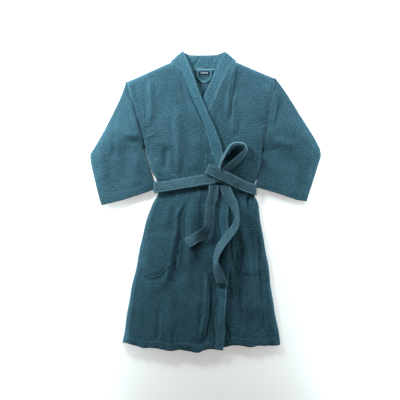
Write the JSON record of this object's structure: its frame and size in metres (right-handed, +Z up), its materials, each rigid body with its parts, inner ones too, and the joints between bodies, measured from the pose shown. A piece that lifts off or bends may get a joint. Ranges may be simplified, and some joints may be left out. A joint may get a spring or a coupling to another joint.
{
  "type": "bathrobe",
  "caption": "Knee-length kimono bathrobe laid flat, with a folded collar band, wide sleeves, patch pockets, a hanging loop and a belt tied in a half bow.",
  "frame": {"origin": "centre of the laid robe's box, on the surface it lies on", "axes": "+Y from the hem to the neck, +X towards the wearer's left, +Z up off the surface, front of the robe upwards"},
  "size_m": [0.8742, 1.138, 0.0614],
  "materials": {
    "robe_cloth": "waffle-weave cotton, matt, soft nap",
    "collar_cloth": "folded waffle-weave cotton, matt",
    "belt_cloth": "folded waffle-weave cotton, matt, pale stitched edges",
    "loop_tape": "woven cotton tape",
    "label_satin": "woven satin"
  },
  "bodies": {
    "robe": {"back_panel": "robe_cloth", "right_front_panel": "robe_cloth", "left_front_panel": "robe_cloth", "right_pocket": "robe_cloth", "left_pocket": "robe_cloth", "right_belt_loop": "robe_cloth", "left_belt_loop": "robe_cloth", "right_front_band": "collar_cloth", "left_front_band": "collar_cloth", "back_neck_collar": "collar_cloth", "back_neck_tape": "loop_tape", "neck_label": "label_satin", "belt_back_run": "belt_cloth", "belt_right_run": "belt_cloth", "belt_left_run": "belt_cloth", "belt_knot": "belt_cloth"},
    "right_sleeve": {"right_sleeve": "robe_cloth"},
    "left_sleeve": {"left_sleeve": "robe_cloth"},
    "hanging_loop": {"hanging_loop": "loop_tape"},
    "bow_loop": {"bow_loop": "belt_cloth"},
    "short_tail": {"short_tail": "belt_cloth"},
    "long_tail": {"long_tail": "belt_cloth"}
  },
  "joints": [
    {"name": "right_sleeve_fold", "type": "hinge", "parent": "robe", "child": "right_sleeve", "pos_m": [-0.23, 0.204, 0.0215], "axis": [-0.267, 0.9637, 0], "range_deg": [0, 110]},
    {"name": "left_sleeve_fold", "type": "hinge", "parent": "robe", "child": "left_sleeve", "pos_m": [0.217, 0.19, 0.0215], "axis": [-0.1679, -0.9858, 0], "range_deg": [0, 110]},
    {"name": "hanging_loop_flip", "type": "hinge", "parent": "robe", "child": "hanging_loop", "pos_m": [-0.005, 0.498, 0.0085], "axis": [-1, 0, 0], "range_deg": [0, 165]},
    {"name": "bow_loop_lift", "type": "hinge", "parent": "robe", "child": "bow_loop", "pos_m": [0.064, 0.128, 0.036], "axis": [0.6226, -0.7825, 0], "range_deg": [0, 45]},
    {"name": "short_tail_lift", "type": "hinge", "parent": "robe", "child": "short_tail", "pos_m": [0.03, 0.056, 0.0248], "axis": [-1, 0, 0], "range_deg": [0, 75]},
    {"name": "long_tail_lift", "type": "hinge", "parent": "robe", "child": "long_tail", "pos_m": [0.077, 0.056, 0.0248], "axis": [-1, 0, 0], "range_deg": [0, 75]}
  ]
}
